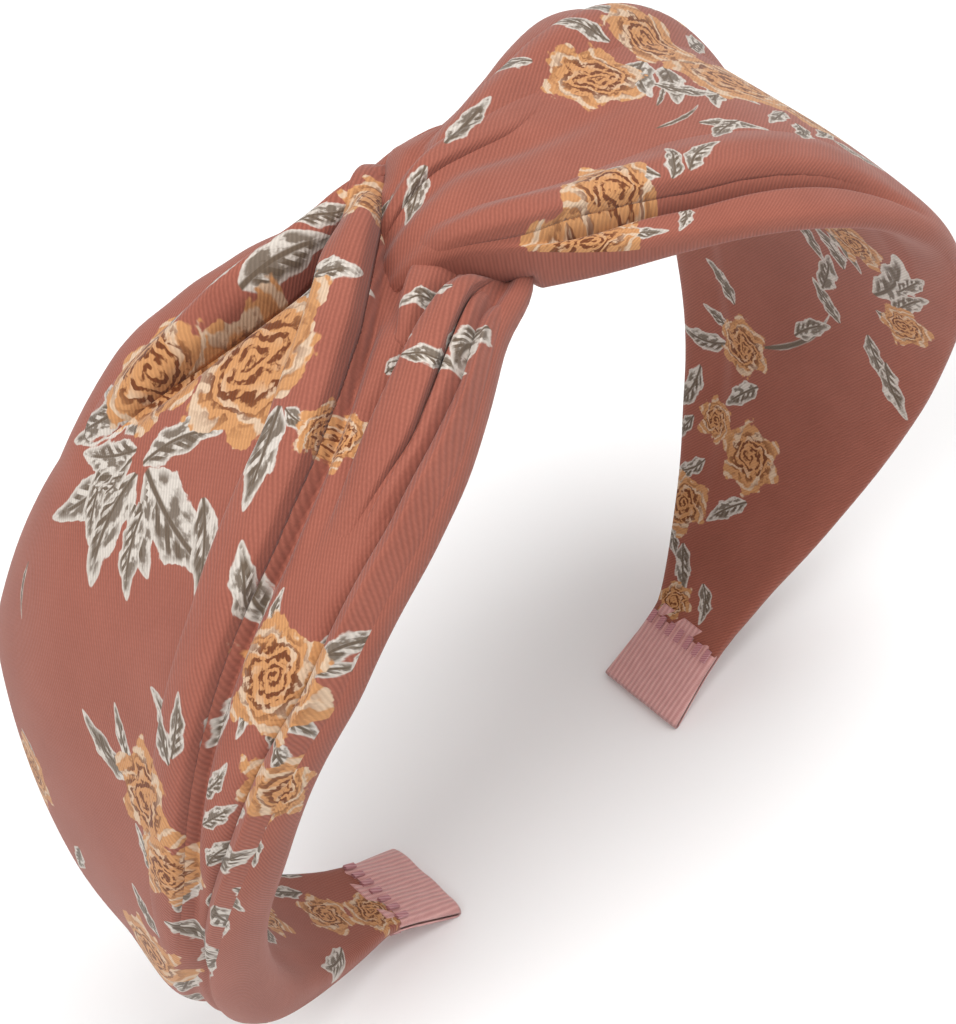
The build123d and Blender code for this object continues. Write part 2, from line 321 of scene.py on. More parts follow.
def ring_mesh(name, outer, inner, outer_uv, inner_uv):
    """A closed mesh from two grids of points that meet along their first and last columns."""
    rows, cols = outer.shape[:2]
    ring = 2 * cols - 2
    grid = np.concatenate([outer, inner[:, cols - 2 : 0 : -1]], axis=1)
    uv_far = np.concatenate([outer_uv, inner_uv[:, cols - 2 : 0 : -1]], axis=1)
    i, j = np.meshgrid(np.arange(rows - 1), np.arange(ring), indexing="ij")
    k = (j + 1) % ring
    quads = np.stack([i * ring + j, i * ring + k, (i + 1) * ring + k, (i + 1) * ring + j], axis=-1)
    column = np.where(np.arange(ring) < cols, np.arange(ring), 2 * cols - 2 - np.arange(ring))

    def uv_at(row, col, is_inner):
        return np.where(is_inner[..., None], inner_uv[row, column[col]], uv_far[row, col])

    inside = j >= cols - 1
    uvs = np.stack([uv_at(i, j, inside), uv_at(i, k, inside), uv_at(i + 1, k, inside),
                    uv_at(i + 1, j, inside)], axis=-2)
    caps, cap_uvs = [], []
    for row, turned in ((0, False), (rows - 1, True)):
        for c in range(cols - 1):
            ids = [row * ring + (c + s) % ring for s in (0, 1)]
            ids += [row * ring + (ring - c - s) % ring for s in (1, 0)]
            face = list(dict.fromkeys(ids))
            corner = outer_uv[row, c]
            caps.append(face if turned else face[::-1])
            cap_uvs += [corner] * len(face)
    faces = quads.reshape(-1, 4).tolist() + caps
    mesh = bpy.data.meshes.new(name)
    mesh.from_pydata((grid.reshape(-1, 3) * MM).tolist(), [], faces)
    layer = mesh.uv_layers.new(name="cloth_mm")
    flat = np.concatenate([uvs.reshape(-1, 2), np.array(cap_uvs)]).astype(np.float32)
    layer.data.foreach_set("uv", flat.ravel())
    return finished(name, mesh)


def finished(name, mesh):
    """A smooth-shaded object with outward normals from a mesh."""
    mesh.update()
    mesh.validate()
    if signed_volume(mesh) < 0:
        mesh.flip_normals()
    mesh.polygons.foreach_set("use_smooth", [True] * len(mesh.polygons))
    piece = bpy.data.objects.new(name, mesh)
    bpy.context.scene.collection.objects.link(piece)
    return piece


def signed_volume(mesh):
    mesh.calc_loop_triangles()
    tris = np.empty(3 * len(mesh.loop_triangles), dtype=np.int32)
    mesh.loop_triangles.foreach_get("vertices", tris)
    points = np.empty(3 * len(mesh.vertices))
    mesh.vertices.foreach_get("co", points)
    a, b, c = points.reshape(-1, 3)[tris.reshape(-1, 3)].transpose(1, 0, 2)
    return float((a * np.cross(b, c)).sum() / 6)


INNER_V = 200.0  # the print's v on an inner face is t plus this


def spread(count):
    """Places across a face from -1 to 1, closer together towards its edges."""
    s = np.linspace(-1, 1, count)[None, :]
    return 0.45 * s + 0.55 * np.sin(s * math.pi / 2)


def make_wrap(name, wrap):
    """One half of the band's cover, from past the middle of the knot to its ribbon."""
    d = np.linspace(-KNOT_REACH[wrap.side], CLOTH_END, ALONG)[:, None]
    q = spread(ACROSS)
    t, height = cloth_heights(wrap, d, q)
    ti, inner_height = lining_heights(wrap, d, q)
    height = np.maximum(height, inner_height)
    full = np.broadcast_to(d, t.shape)
    outer = place(wrap.side, full, t, height)
    inner = place(wrap.side, full, ti, inner_height)
    inner[:, 0], inner[:, -1] = outer[:, 0], outer[:, -1]
    outer_uv = np.stack([full, wrap_v(wrap, d, t, q)], -1)
    return ring_mesh(name, outer, inner, outer_uv, np.stack([full, ti + INNER_V], -1))


def surface_under(wrap, d, t):
    """A wrap's outer height at each point of a grid of stations d and places t."""
    q = spread(ACROSS)
    rows = [cloth_heights(wrap, np.array([[x]]), q) for x in d[:, 0]]
    return np.stack([np.interp(t[n], np.maximum.accumulate(a[0]), h[0]) for n, (a, h) in enumerate(rows)])


def make_fold(fold, wrap):
    """A raised pleat on a wrap, closed underneath and sunk into it at its ends."""
    d = np.linspace(fold.start, fold.end, int((fold.end - fold.start) * 1.8) + 8)[:, None]
    q = spread(33)
    low, high = follow(d, fold.low, 4), follow(d, fold.high, 4)
    t = low + (high - low) * (q + 1) / 2
    round_side = np.maximum(1 - np.abs(q) ** 3, 0) ** 0.5
    soft_side = ease(q * fold.keen, -1.0, 0.3) if fold.keen else 1.0
    lift = follow(d, fold.lift, 3)
    base = surface_under(wrap, d, t)
    top = base - 0.35 + (lift + 0.35) * round_side * soft_side
    floor = np.minimum(base, top) - 1.0 * round_side - 0.02
    lip = 0.5 * np.clip(lift, 0, 2) * np.sin(math.pi * np.clip(np.abs(q), 0, 1)) * np.sign(q)
    lip = lip * (soft_side if fold.keen else 1.0) * ease(np.abs(q), 0.3, 0.8)
    full = np.broadcast_to(d, t.shape)
    outer = place(fold.side, full, t + lip, top)
    inner = place(fold.side, full, t, floor)
    inner[:, 0], inner[:, -1] = outer[:, 0], outer[:, -1]
    v = t + 0.7 * np.sign(q) * np.maximum(lift, 0) * (1 - round_side)
    return ring_mesh(fold.name, outer, inner, np.stack([full, v], -1), np.stack([full, t], -1))


# ---------------------------------------------------------------- the print
# Leaves are (base d, base t, tip d, tip t, width share); roses are (d, t, radius).
LEFT_LEAVES = [
    (27, 3, 20, -5, 0.42), (30, 6, 24, 0, 0.30), (30, 9, 17, 6, 0.32),
    (52, 6, 43, -3, 0.36), (52, 5, 56, -14, 0.40), (53, 6, 68, 5, 0.42), (52, 8, 65, 18, 0.34),
    (51, 8, 56, 18, 0.40), (53, 4, 62, -4, 0.42), (50, 10, 48, 20, 0.34), (54, 8, 60, 12, 0.38),
    (37, -10, 48, -15, 0.36), (37, -11, 36, -17, 0.34), (58, -23, 50, -17, 0.34),
    (62, -26, 70, -28, 0.34), (60, -30, 66, -37, 0.30), (58, -30, 54, -37, 0.26),
    (58, -26, 52, -24, 0.30), (57, -33, 49, -38, 0.24), (77, -20, 72, -11, 0.30),
    (76, -20, 68, -18, 0.30), (86, -12, 83, 1, 0.26), (85, -11, 78, -5, 0.24),
    (80, -24, 73, -28, 0.34), (84, -26, 78, -31, 0.34), (90, -28, 84, -33, 0.36),
    (92, -30, 98, -35, 0.34), (96, -28, 104, -30, 0.34), (90, -24, 96, -22, 0.30),
    (108, -26, 116, -22, 0.32), (104, 12, 99, 18, 0.30), (122, -12, 132, -6, 0.30),
    (27, -15, 22, -16, 0.40), (25, -17, 21, -24, 0.34), (14, -20, 22, -23, 0.36),
    (56, -36, 50, -37, 0.26), (138, 4, 147, 9, 0.30), (140, -2, 149, -8, 0.30),
    (72, 20, 80, 18, 0.10), (112, 4, 121, 8, 0.28), (126, 10, 134, 4, 0.28),
    (54, 12, 64, 8, 0.36), (56, 2, 66, -2, 0.36), (48, 14, 56, 22, 0.36), (50, -6, 60, -14, 0.34),
    (94, -26, 102, -22, 0.38), (100, -32, 108, -27, 0.36), (104, -20, 112, -26, 0.36),
    (110, -18, 104, -12, 0.34), (112, -28, 120, -24, 0.36), (120, -20, 128, -16, 0.36),
    (80, -33, 88, -36, 0.34), (98, -18, 92, -13, 0.32), (130, -18, 138, -12, 0.36),
    (66, -24, 74, -23, 0.34), (66, -32, 72, -34, 0.32), (132, 2, 124, -4, 0.32),
    (20, 10, 12, 8, 0.34), (26, 12, 34, 15, 0.34), (32, 16, 40, 14, 0.34), (14, -14, 20, -10, 0.38),
]
LEFT_ROSES = [
    (35, 0, 11.6), (43, 13, 8.2), (36, -17, 4.0), (61, -29, 7.6), (86, -15, 8.0), (94, -21, 6.0),
    (106, 16, 6.6), (118, -14, 7.8), (74, -36, 6.4), (10, 5, 5.8), (144, 2, 6.8), (166, -4, 5.4),
]
RIGHT_LEAVES = [
    (0, -4, 12, -9, 0.22), (38, -7, 31, 2, 0.40), (40, -5, 33, 5, 0.34), (41, 1, 47, 8, 0.34),
    (17, 18, 9, 12, 0.30), (18, 19, 23, 13, 0.30), (21, 19, 29, 17, 0.30), (19, 22, 15, 27, 0.34),
    (8, 21, 14, 26, 0.36), (44, -14, 36, -20, 0.34), (46, -8, 40, -14, 0.40), (50, -20, 57, -24, 0.34),
    (46, 2, 38, 8, 0.34), (50, 10, 42, 14, 0.30), (56, 13, 48, 18, 0.32), (30, 4, 36, -1, 0.10),
    (26, 8, 36, 6, 0.08), (32, 10, 40, 16, 0.26), (36, -12, 30, -20, 0.36), (34, -1, 42, 4, 0.36),
    (38, 12, 30, 15, 0.34), (48, 14, 42, 20, 0.34), (56, -14, 64, -18, 0.36), (52, 18, 60, 24, 0.34),
    (22, -12, 14, -17, 0.34), (60, 2, 68, 6, 0.34), (-4, -3, -11, 1, 0.34), (-8, -5, -14, -4, 0.30),
    (58, 17, 66, 22, 0.30),
    (64, -8, 70, -14, 0.34), (76, 6, 84, 12, 0.30), (76, 16, 86, 20, 0.30), (70, -20, 78, -26, 0.34),
    (96, -10, 104, -16, 0.34), (96, -8, 90, -2, 0.34), (98, 6, 106, 12, 0.30), (120, -6, 128, 0, 0.32),
    (82, -2, 90, 4, 0.34), (84, -20, 76, -14, 0.34), (92, -24, 82, -22, 0.34), (106, 18, 114, 14, 0.34),
    (110, -10, 116, -18, 0.36), (130, 4, 122, 8, 0.34), (132, -12, 140, -8, 0.34), (94, 14, 86, 20, 0.34),
    (122, -10, 128, -18, 0.32), (140, 4, 148, 8, 0.30), (142, -4, 150, -10, 0.30), (160, 2, 168, 5, 0.28),
]
RIGHT_ROSES = [
    (28, -6, 8.0), (44, -12, 8.6), (50, -1, 10.5), (58, 10, 8.0), (10, 17, 7.4), (3, 22, 8.0),
    (60, -26, 6.6), (76, 18, 7.0), (98, -14, 7.2), (124, -8, 7.4), (100, 14, 6.0),
    (146, 0, 6.2), (166, -4, 5.0), (88, -28, 6.2),
]
FAR_LEAVES = [
    (129, -15, 127, -24, 0.32), (132, -17, 135, -29, 0.30), (104, 4, 92, 7, 0.34), (96, 16, 76, 24, 0.30),
    (98, 20, 88, 28, 0.32), (100, 16, 104, 22, 0.36), (108, 14, 118, 20, 0.32), (112, 18, 124, 23, 0.30),
    (140, -22, 152, -26, 0.34), (150, -20, 158, -24, 0.32), (170, -14, 175, -9, 0.36),
    (172, -10, 180, -4, 0.34), (176, -2, 183, 2, 0.34), (168, -18, 172, -12, 0.34),
    (128, -10, 108, 6, 0.05), (148, -8, 150, -16, 0.05), (84, 8, 92, 14, 0.30), (86, 2, 96, 6, 0.30),
    (62, -8, 70, -14, 0.32), (58, 10, 66, 4, 0.32), (120, -2, 112, 6, 0.36), (122, -16, 116, -24, 0.36),
    (136, -8, 144, -14, 0.38), (156, -14, 162, -20, 0.36), (90, 22, 82, 28, 0.36), (94, 10, 84, 4, 0.34),
    (110, 8, 102, 2, 0.34), (74, 8, 66, 16, 0.36), (158, -2, 166, -8, 0.36), (76, -4, 84, -10, 0.34),
    (40, 6, 48, 10, 0.32), (44, -12, 52, -8, 0.32),
]
FAR_ROSES = [
    (130, -13, 6.8), (150, -5, 7.6), (148, -15, 4.6), (166, -14, 6.4), (182, -5, 4.2),
    (82, 14, 6.8), (100, 22, 5.6), (62, -22, 7.0), (46, 0, 6.4), (66, 10, 5.6), (24, 6, 5.4),
]
NEAR_LEAVES = [
    (172, 4, 160, 6, 0.30), (168, -10, 158, -14, 0.30), (160, -18, 168, -20, 0.32),
    (176, 8, 164, 10, 0.26),
    (150, -6, 142, -12, 0.32), (148, 2, 140, 8, 0.32), (120, -8, 112, -14, 0.32), (118, 2, 110, 6, 0.32),
    (90, 10, 98, 16, 0.32), (88, -4, 80, -10, 0.32), (60, 6, 68, 12, 0.32), (58, -10, 50, -4, 0.32),
    (36, 4, 44, 8, 0.32), (34, -8, 26, -12, 0.32),
]
NEAR_ROSES = [
    (182, -4, 5.6), (172, -2, 6.0), (154, -2, 6.0), (124, -4, 5.0), (98, 4, 4.8), (90, -20, 4.8),
    (62, -8, 4.6), (40, -2, 4.4), (70, 18, 4.4), (20, 4, 3.6),
]

LEAF_LAYERS = 4
ROSE_LAYERS = 2
FAR_AWAY = (-900.0, -900.0, 0.0)


def leaf_places(leaves, shift):
    """Centre, angle, half-length, width share and a number that varies each leaf."""
    rows = []
    for n, (d0, t0, d1, t1, width) in enumerate(leaves):
        half = math.hypot(d1 - d0, t1 - t0) / 2
        angle = math.atan2(t1 - t0, d1 - d0)
        rows.append(((d0 + d1) / 2, (t0 + t1) / 2 + shift, angle, half, width, 1.7 * n))
    return rows


def rose_places(roses, shift):
    return [(d, t + shift, 2.4 * n, radius, 0.3, 1.3 * n) for n, (d, t, radius) in enumerate(roses)]


def face_uv(mesh):
    """Each face's middle in cloth coordinates."""
    uv = np.empty(2 * len(mesh.loops), dtype=np.float32)
    mesh.uv_layers["cloth_mm"].data.foreach_get("uv", uv)
    start = np.empty(len(mesh.polygons), dtype=np.int32)
    count = np.empty(len(mesh.polygons), dtype=np.int32)
    mesh.polygons.foreach_get("loop_start", start)
    mesh.polygons.foreach_get("loop_total", count)
    return np.add.reduceat(uv.reshape(-1, 2), start) / count[:, None]


def lay_motifs(mesh, kind, places, layers):
    """Gives each face the motifs that reach it, one in each layer, as face attributes."""
    middle = face_uv(mesh)
    where = np.tile(np.array(FAR_AWAY, dtype=np.float32), (layers, len(middle), 1))
    form = np.ones_like(where)
    used = np.zeros(len(middle), dtype=np.int32)
    for d, t, angle, size, width, vary in places:
        x, y = middle[:, 0] - d, middle[:, 1] - t
        along = x * math.cos(angle) + y * math.sin(angle)
        across = -x * math.sin(angle) + y * math.cos(angle)
        reach = size * (1.25 if kind == "rose" else 1.08) + 0.8
        span = reach if kind == "rose" else size * (width * 1.3 + 0.2) + 0.8
        hit = (np.abs(along) < reach) & (np.abs(across) < span) & (used < layers)
        rows = np.nonzero(hit)[0]
        where[used[rows], rows] = (d, t, angle)
        form[used[rows], rows] = (size, width, vary)
        used[rows] += 1
    for n in range(layers):
        for word, values in (("place", where[n]), ("form", form[n])):
            layer = mesh.attributes.new(f"{kind}_{n}_{word}", "FLOAT_VECTOR", "FACE")
            layer.data.foreach_set("vector", values.ravel())


def print_cloth(piece, leaves, roses, inner_leaves=(), inner_roses=()):
    mesh = piece.data
    lay_motifs(mesh, "leaf", leaf_places(leaves, 0) + leaf_places(inner_leaves, INNER_V), LEAF_LAYERS)
    lay_motifs(mesh, "rose", rose_places(roses, 0) + rose_places(inner_roses, INNER_V), ROSE_LAYERS)


# ---------------------------------------------------------------- materials
class Graph:
    """Short calls for building a node tree. An input is a number, a tuple or another node's output."""

    def __init__(self, tree):
        self.tree = tree

    def add(self, kind, **settings):
        node = self.tree.nodes.new(kind)
        for key, value in settings.items():
            setattr(node, key, value)
        return node

    def put(self, socket, value):
        if isinstance(value, bpy.types.NodeSocket):
            self.tree.links.new(value, socket)
        else:
            socket.default_value = value

    def math(self, operation, *values, clamp=False):
        node = self.add("ShaderNodeMath", operation=operation, use_clamp=clamp)
        for socket, value in zip(node.inputs, values):
            self.put(socket, value)
        return node.outputs[0]

    def step(self, value, low, high):
        node = self.add("ShaderNodeMapRange", interpolation_type="SMOOTHSTEP")
        for key, v in (("Value", value), ("From Min", low), ("From Max", high)):
            self.put(node.inputs[key], v)
        return node.outputs[0]

    def mix(self, share, a, b):
        node = self.add("ShaderNodeMix", data_type="RGBA")
        self.put(node.inputs[0], share)
        self.put(node.inputs[6], a)
        self.put(node.inputs[7], b)
        return node.outputs[2]

    def noise(self, vector, scale, detail=2.0):
        node = self.add("ShaderNodeTexNoise")
        self.put(node.inputs["Vector"], vector)
        node.inputs["Scale"].default_value = scale
        node.inputs["Detail"].default_value = detail
        return node.outputs[0]

    def split(self, vector):
        node = self.add("ShaderNodeSeparateXYZ")
        self.put(node.inputs[0], vector)
        return node.outputs

    def join(self, x, y, z=0.0):
        node = self.add("ShaderNodeCombineXYZ")
        for socket, value in zip(node.inputs, (x, y, z)):
            self.put(socket, value)
        return node.outputs[0]

    def attribute(self, name):
        return self.add("ShaderNodeAttribute", attribute_name=name).outputs["Vector"]


def motif_group(name, outputs):
    """An empty node group that takes a cloth position and one motif's numbers."""
    tree = bpy.data.node_groups.new(name, "ShaderNodeTree")
    for label in ("Cloth", "Place", "Form"):
        tree.interface.new_socket(label, in_out="INPUT", socket_type="NodeSocketVector")
    for label in outputs:
        tree.interface.new_socket(label, in_out="OUTPUT", socket_type="NodeSocketFloat")
    g = Graph(tree)
    return g, g.add("NodeGroupInput").outputs, g.add("NodeGroupOutput").inputs


def motif_frame(g, given):
    """The cloth position in a motif's own frame, scaled by its size."""
    u, v, _ = g.split(given["Cloth"])
    cu, cv, angle = g.split(given["Place"])
    size, width, vary = g.split(given["Form"])
    du, dv = g.math("SUBTRACT", u, cu), g.math("SUBTRACT", v, cv)
    cos, sin = g.math("COSINE", angle), g.math("SINE", angle)
    x = g.math("ADD", g.math("MULTIPLY", du, cos), g.math("MULTIPLY", dv, sin))
    y = g.math("SUBTRACT", g.math("MULTIPLY", dv, cos), g.math("MULTIPLY", du, sin))
    return g.math("DIVIDE", x, size), g.math("DIVIDE", y, size), size, width, vary


def leaf_group():
    """A pointed leaf with a wavy edge, a dark midrib and brushed side strokes."""
    g, given, out = motif_group("printed leaf", ("Mask", "Stroke"))
    x, y, size, width, vary = motif_frame(g, given)
    rough = g.noise(g.join(x, g.math("MULTIPLY", y, 1.8), vary), 3.4, 3.5)
    bend = g.math("MULTIPLY", g.math("SINE", vary), 0.22)
    inside = g.math("SUBTRACT", 1.0, g.math("MULTIPLY", x, x))
    y = g.math("SUBTRACT", y, g.math("MULTIPLY", bend, inside))
    across = g.math("ABSOLUTE", y)
    taper = g.math("POWER", g.math("MAXIMUM", inside, 0.0), 0.8)
    belly = g.math("SUBTRACT", 1.0, g.math("MULTIPLY", x, 0.35))
    teeth = g.math("MULTIPLY_ADD", g.math("SINE", g.math("MULTIPLY", x, 9.0)), 0.12, 0.94)
    edge = g.math("MULTIPLY", g.math("MULTIPLY", taper, belly), g.math("MULTIPLY", width, teeth))
    edge = g.math("MULTIPLY", edge, g.math("MULTIPLY_ADD", rough, 0.8, 0.60))
    soft = g.math("DIVIDE", 0.12, size)
    mask = g.step(g.math("SUBTRACT", edge, across), g.math("MULTIPLY", soft, -1.0), soft)
    mask = g.math("MULTIPLY", mask, g.step(inside, 0.02, 0.10))
    veins = g.math("SINE", g.math("MULTIPLY", g.math("ADD", x, g.math("MULTIPLY", across, -1.5)), 21.0))
    veins = g.math("ADD", veins, g.math("MULTIPLY", rough, 1.6))
    fade = g.step(g.math("SUBTRACT", edge, across), 0.0, g.math("MULTIPLY", width, 0.42))
    side = g.step(g.math("MULTIPLY_ADD", y, 3.0, g.math("MULTIPLY", rough, 1.4)), 0.35, 0.95)
    strokes = g.math("MULTIPLY", g.step(veins, 0.30, 0.95), g.math("MULTIPLY", fade, side))
    rib = g.math("SUBTRACT", 1.0, g.step(across, 0.02, 0.06))
    rib = g.math("MULTIPLY", rib, g.math("SUBTRACT", 1.0, g.step(x, 0.45, 0.85)))
    dusk = g.math("MULTIPLY", g.step(rough, 0.42, 0.56), g.math("MULTIPLY", fade, 0.9))
    stroke = g.math("MAXIMUM", g.math("MAXIMUM", strokes, rib), dusk)
    g.put(out["Mask"], mask)
    g.put(out["Stroke"], stroke)
    return g.tree


def rose_group():
    """A round bloom with lobed petals: pale rims, a tan body and a spiral of brown strokes."""
    g, given, out = motif_group("printed rose", ("Mask", "Brown", "Cream"))
    x, y, size, _, vary = motif_frame(g, given)
    spot = g.join(x, y, vary)
    rough = g.noise(spot, 2.4, 3.0)
    fine = g.noise(spot, 8.0, 3.5)
    radius = g.math("SQRT", g.math("ADD", g.math("MULTIPLY", x, x), g.math("MULTIPLY", y, y)))
    angle = g.math("ARCTAN2", y, x)
    lobes = g.math("SINE", g.math("MULTIPLY_ADD", angle, 6.0, vary))
    rim = g.math("ADD", g.math("MULTIPLY_ADD", lobes, 0.10, 0.46), g.math("MULTIPLY", rough, 0.78))
    soft = g.math("DIVIDE", 0.14, size)
    mask = g.step(g.math("SUBTRACT", rim, radius), g.math("MULTIPLY", soft, -1.0), soft)
    turns = g.math("ADD", g.math("MULTIPLY", radius, 33.0), g.math("MULTIPLY", rough, 26.0))
    swirl = g.math("SINE", g.math("ADD", turns, angle))
    broken = g.step(fine, 0.37, 0.49)
    heart = g.math("SUBTRACT", 1.0, g.step(radius, 0.40, 0.92))
    brown = g.math("MULTIPLY", g.step(swirl, -0.35, 0.35), g.math("MULTIPLY", broken, heart))
    petals = g.math("SINE", g.math("ADD", g.math("MULTIPLY", turns, 0.5), g.math("MULTIPLY", angle, 5.0)))
    pale = g.math("MULTIPLY", g.step(petals, 0.15, 0.8), g.step(radius, 0.18, 0.62))
    g.put(out["Mask"], mask)
    g.put(out["Brown"], brown)
    g.put(out["Cream"], pale)
    return g.tree


def new_material(name, roughness, sheen):
    material = bpy.data.materials.new(name)
    material.use_nodes = True
    shader = material.node_tree.nodes["Principled BSDF"]
    shader.inputs["Roughness"].default_value = roughness
    shader.inputs["Sheen Weight"].default_value = sheen
    shader.inputs["Sheen Roughness"].default_value = 0.5
    shader.inputs["Specular IOR Level"].default_value = 0.25
    return material, Graph(material.node_tree), shader


def add_bump(g, shader, height, distance, strength=1.0):
    bump = g.add("ShaderNodeBump")
    bump.inputs["Strength"].default_value = strength
    bump.inputs["Distance"].default_value = distance
    g.put(bump.inputs["Height"], height)
    g.put(shader.inputs["Normal"], bump.outputs[0])


ROSE_CLOTH = (0.205, 0.056, 0.035, 1)
ROSE_CLOTH_PALE = (0.335, 0.110, 0.075, 1)
LEAF_CREAM = (0.52, 0.47, 0.42, 1)
LEAF_GREY = (0.110, 0.077, 0.052, 1)
PETAL_TAN = (0.47, 0.225, 0.090, 1)
PETAL_CREAM = (0.54, 0.39, 0.27, 1)
PETAL_BROWN = (0.135, 0.036, 0.009, 1)


def twill(g, u, v):
    """Height of the weave: slanting ribs 0.47 mm apart, broken into single floats."""
    slant = g.math("ADD", g.math("MULTIPLY", u, 8.0), g.math("MULTIPLY", v, 10.6))
    wobble = g.noise(g.join(u, v), 0.9, 2.0)
    ribs = g.math("SINE", g.math("MULTIPLY_ADD", wobble, 2.4, slant))
    floats = g.math("SINE", g.math("SUBTRACT", g.math("MULTIPLY", u, 9.5), g.math("MULTIPLY", v, 4.0)))
    rib = g.math("MULTIPLY_ADD", ribs, 0.5, 0.5)
    grain = g.noise(g.join(u, v), 3.4, 2.0)
    yarn = g.math("MULTIPLY_ADD", g.math("MULTIPLY", floats, rib), 0.10, g.math("MULTIPLY", rib, 0.66))
    return g.math("MULTIPLY_ADD", grain, 0.55, yarn)


def floral_twill():
    """Dusty rose twill, printed with roses and leaves where the face attributes put them."""
    material, g, shader = new_material("floral_twill_cloth", 0.85, 0.14)
    uv = g.add("ShaderNodeUVMap", uv_map="cloth_mm").outputs[0]
    u, v, _ = g.split(uv)
    weave = twill(g, u, v)
    mottle = g.noise(uv, 0.12, 3.0)
    slub = g.noise(g.join(g.math("MULTIPLY", u, 0.3), g.math("MULTIPLY", v, 2.2)), 1.0, 2.0)
    # The weave's rib crests are mixed towards the paler cloth colour: painted shade between the ribs,
    # together with the cloth's real mottling and slubs.
    rib_shade_and_mottle = g.math("ADD", g.math("MULTIPLY", weave, 0.25), g.math("MULTIPLY", mottle, 0.45))
    rib_shade_and_mottle = g.math("ADD", rib_shade_and_mottle, g.math("MULTIPLY", slub, 0.25), clamp=True)
    colour = g.mix(rib_shade_and_mottle, ROSE_CLOTH, ROSE_CLOTH_PALE)
    leaf_tree, rose_tree = leaf_group(), rose_group()
    for n in range(LEAF_LAYERS):
        node = g.add("ShaderNodeGroup", node_tree=leaf_tree)
        for label, value in (("Cloth", uv), ("Place", g.attribute(f"leaf_{n}_place")),
                             ("Form", g.attribute(f"leaf_{n}_form"))):
            g.put(node.inputs[label], value)
        ink = g.mix(node.outputs["Stroke"], LEAF_CREAM, LEAF_GREY)
        colour = g.mix(node.outputs["Mask"], colour, ink)
    for n in range(ROSE_LAYERS):
        node = g.add("ShaderNodeGroup", node_tree=rose_tree)
        for label, value in (("Cloth", uv), ("Place", g.attribute(f"rose_{n}_place")),
                             ("Form", g.attribute(f"rose_{n}_form"))):
            g.put(node.inputs[label], value)
        ink = g.mix(node.outputs["Cream"], PETAL_TAN, PETAL_CREAM)
        ink = g.mix(node.outputs["Brown"], ink, PETAL_BROWN)
        colour = g.mix(node.outputs["Mask"], colour, ink)
    # The colour is darkened in the weave's grooves: painted shade between the ribs.
    rib_painted_shade = g.math("MULTIPLY_ADD", weave, 0.24, 0.83)
    scaled = g.add("ShaderNodeVectorMath", operation="SCALE")
    g.put(scaled.inputs[0], colour)
    g.put(scaled.inputs["Scale"], rib_painted_shade)
    g.put(shader.inputs["Base Color"], scaled.outputs[0])
    add_bump(g, shader, weave, 0.0001, 0.6)
    return material


def grosgrain():
    """Pink ribbon with fine ribs along its length."""
    material, g, shader = new_material("grosgrain_pink", 0.62, 0.3)
    uv = g.add("ShaderNodeUVMap", uv_map="cloth_mm").outputs[0]
    u, v, _ = g.split(uv)
    wander = g.noise(uv, 0.5, 2.0)
    across = g.math("MULTIPLY_ADD", wander, 1.2, g.math("MULTIPLY", v, 6.6))
    ribs = g.math("MULTIPLY_ADD", g.math("SINE", across), 0.5, 0.5)
    yarn = g.math("MULTIPLY_ADD", g.math("SINE", g.math("MULTIPLY", u, 17.0)), 0.5, 0.5)
    cord = g.math("MULTIPLY_ADD", yarn, 0.25, ribs)
    tone = g.math("ADD", g.math("MULTIPLY", cord, 0.6), g.math("MULTIPLY", wander, 0.35), clamp=True)
    g.put(shader.inputs["Base Color"], g.mix(tone, (0.46, 0.205, 0.190, 1), (0.70, 0.385, 0.360, 1)))
    add_bump(g, shader, cord, 0.0002, 0.8)
    return material


def thread():
    """Twisted pinkish purple sewing thread."""
    material, g, shader = new_material("overcast_thread", 0.5, 0.3)
    place_at = g.add("ShaderNodeTexCoord").outputs["Object"]
    x, y, z = g.split(place_at)
    twist = g.math("SINE", g.math("MULTIPLY", g.math("ADD", x, g.math("ADD", y, z)), 9000.0))
    twist = g.math("MULTIPLY_ADD", twist, 0.5, 0.5)
    g.put(shader.inputs["Base Color"], g.mix(twist, (0.36, 0.13, 0.15, 1), (0.52, 0.25, 0.26, 1)))
    add_bump(g, shader, twist, 0.0001, 0.6)
    return material


def core_plastic():
    """Smooth moulded plastic with faint flow marks."""
    material, g, shader = new_material("core_plastic_grain", 0.45, 0.0)
    place_at = g.add("ShaderNodeTexCoord").outputs["Object"]
    flow = g.noise(place_at, 900.0, 3.0)
    g.put(shader.inputs["Base Color"], g.mix(flow, (0.62, 0.58, 0.55, 1), (0.70, 0.66, 0.63, 1)))
    add_bump(g, shader, flow, 0.00005, 0.4)
    return material


# ---------------------------------------------------------------- ribbons and stitches
RIBBON_START = JUNCTION - 0.6  # just inside the end of the cloth
RIBBON_FOLD = 200.45  # where the ribbon starts to turn round the end of the core
RIBBON_RUN = 17.0  # millimetres of ribbon out along the tip, and as much back
RIBBON_TURN = 0.75  # how far it reaches past that
RIBBON_HALF = [(182, 8.1), (190, 8.2), (201, 9.2)]
RIBBON_MIDDLE = 0.9  # height midway between its two layers
RIBBON_GAP = 1.75  # from there to the outside of each layer
RIBBON_PINCHED = 0.5  # the same at its long edges, where the layers are pressed together
RIBBON_THICKNESS = 0.45
FLOOR_GAP = 0.02  # the ribbon's folded end rests this far above the floor


